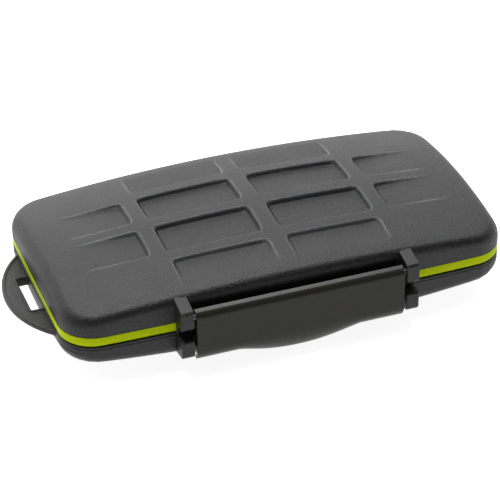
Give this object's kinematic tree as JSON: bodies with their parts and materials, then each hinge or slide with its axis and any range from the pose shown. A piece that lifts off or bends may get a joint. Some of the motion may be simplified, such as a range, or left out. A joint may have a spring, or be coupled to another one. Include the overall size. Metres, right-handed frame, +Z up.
{
  "type": "memory card case",
  "caption": "Hinged hard case for memory cards with a crowned, ribbed lid and base, a bright seal, card trays, a wide front latch and a lanyard loop.",
  "frame": {"origin": "middle of the flat on the base's underside that the case rests on", "axes": "+X along the long side, away from the lanyard loop; +Y from the latch to the hinge; +Z up through the lid"},
  "size_m": [0.1281, 0.0723, 0.0247],
  "materials": {
    "shell": "fine moulded texture",
    "latch": "smooth satin",
    "seal": "satin",
    "tray": "matte",
    "pin": "drawn"
  },
  "bodies": {
    "base": {"base_shell": "shell", "base_card_tray": "tray", "hinge_pin_left": "pin", "hinge_pin_right": "pin"},
    "lid": {"lid_shell": "shell", "lid_card_tray": "tray", "seal_ring": "seal", "latch_pin_left": "pin", "latch_pin_right": "pin"},
    "latch": {"latch": "latch"}
  },
  "joints": [
    {"name": "lid_hinge", "type": "hinge", "parent": "base", "child": "lid", "pos_m": [0, 0.03383, 0.01215], "axis": [-1, 0, 0], "range_deg": [0, 170]},
    {"name": "latch_pivot", "type": "hinge", "parent": "lid", "child": "latch", "pos_m": [0, -0.03395, 0.01625], "axis": [-1, 0, 0], "range_deg": [0, 120]}
  ]
}
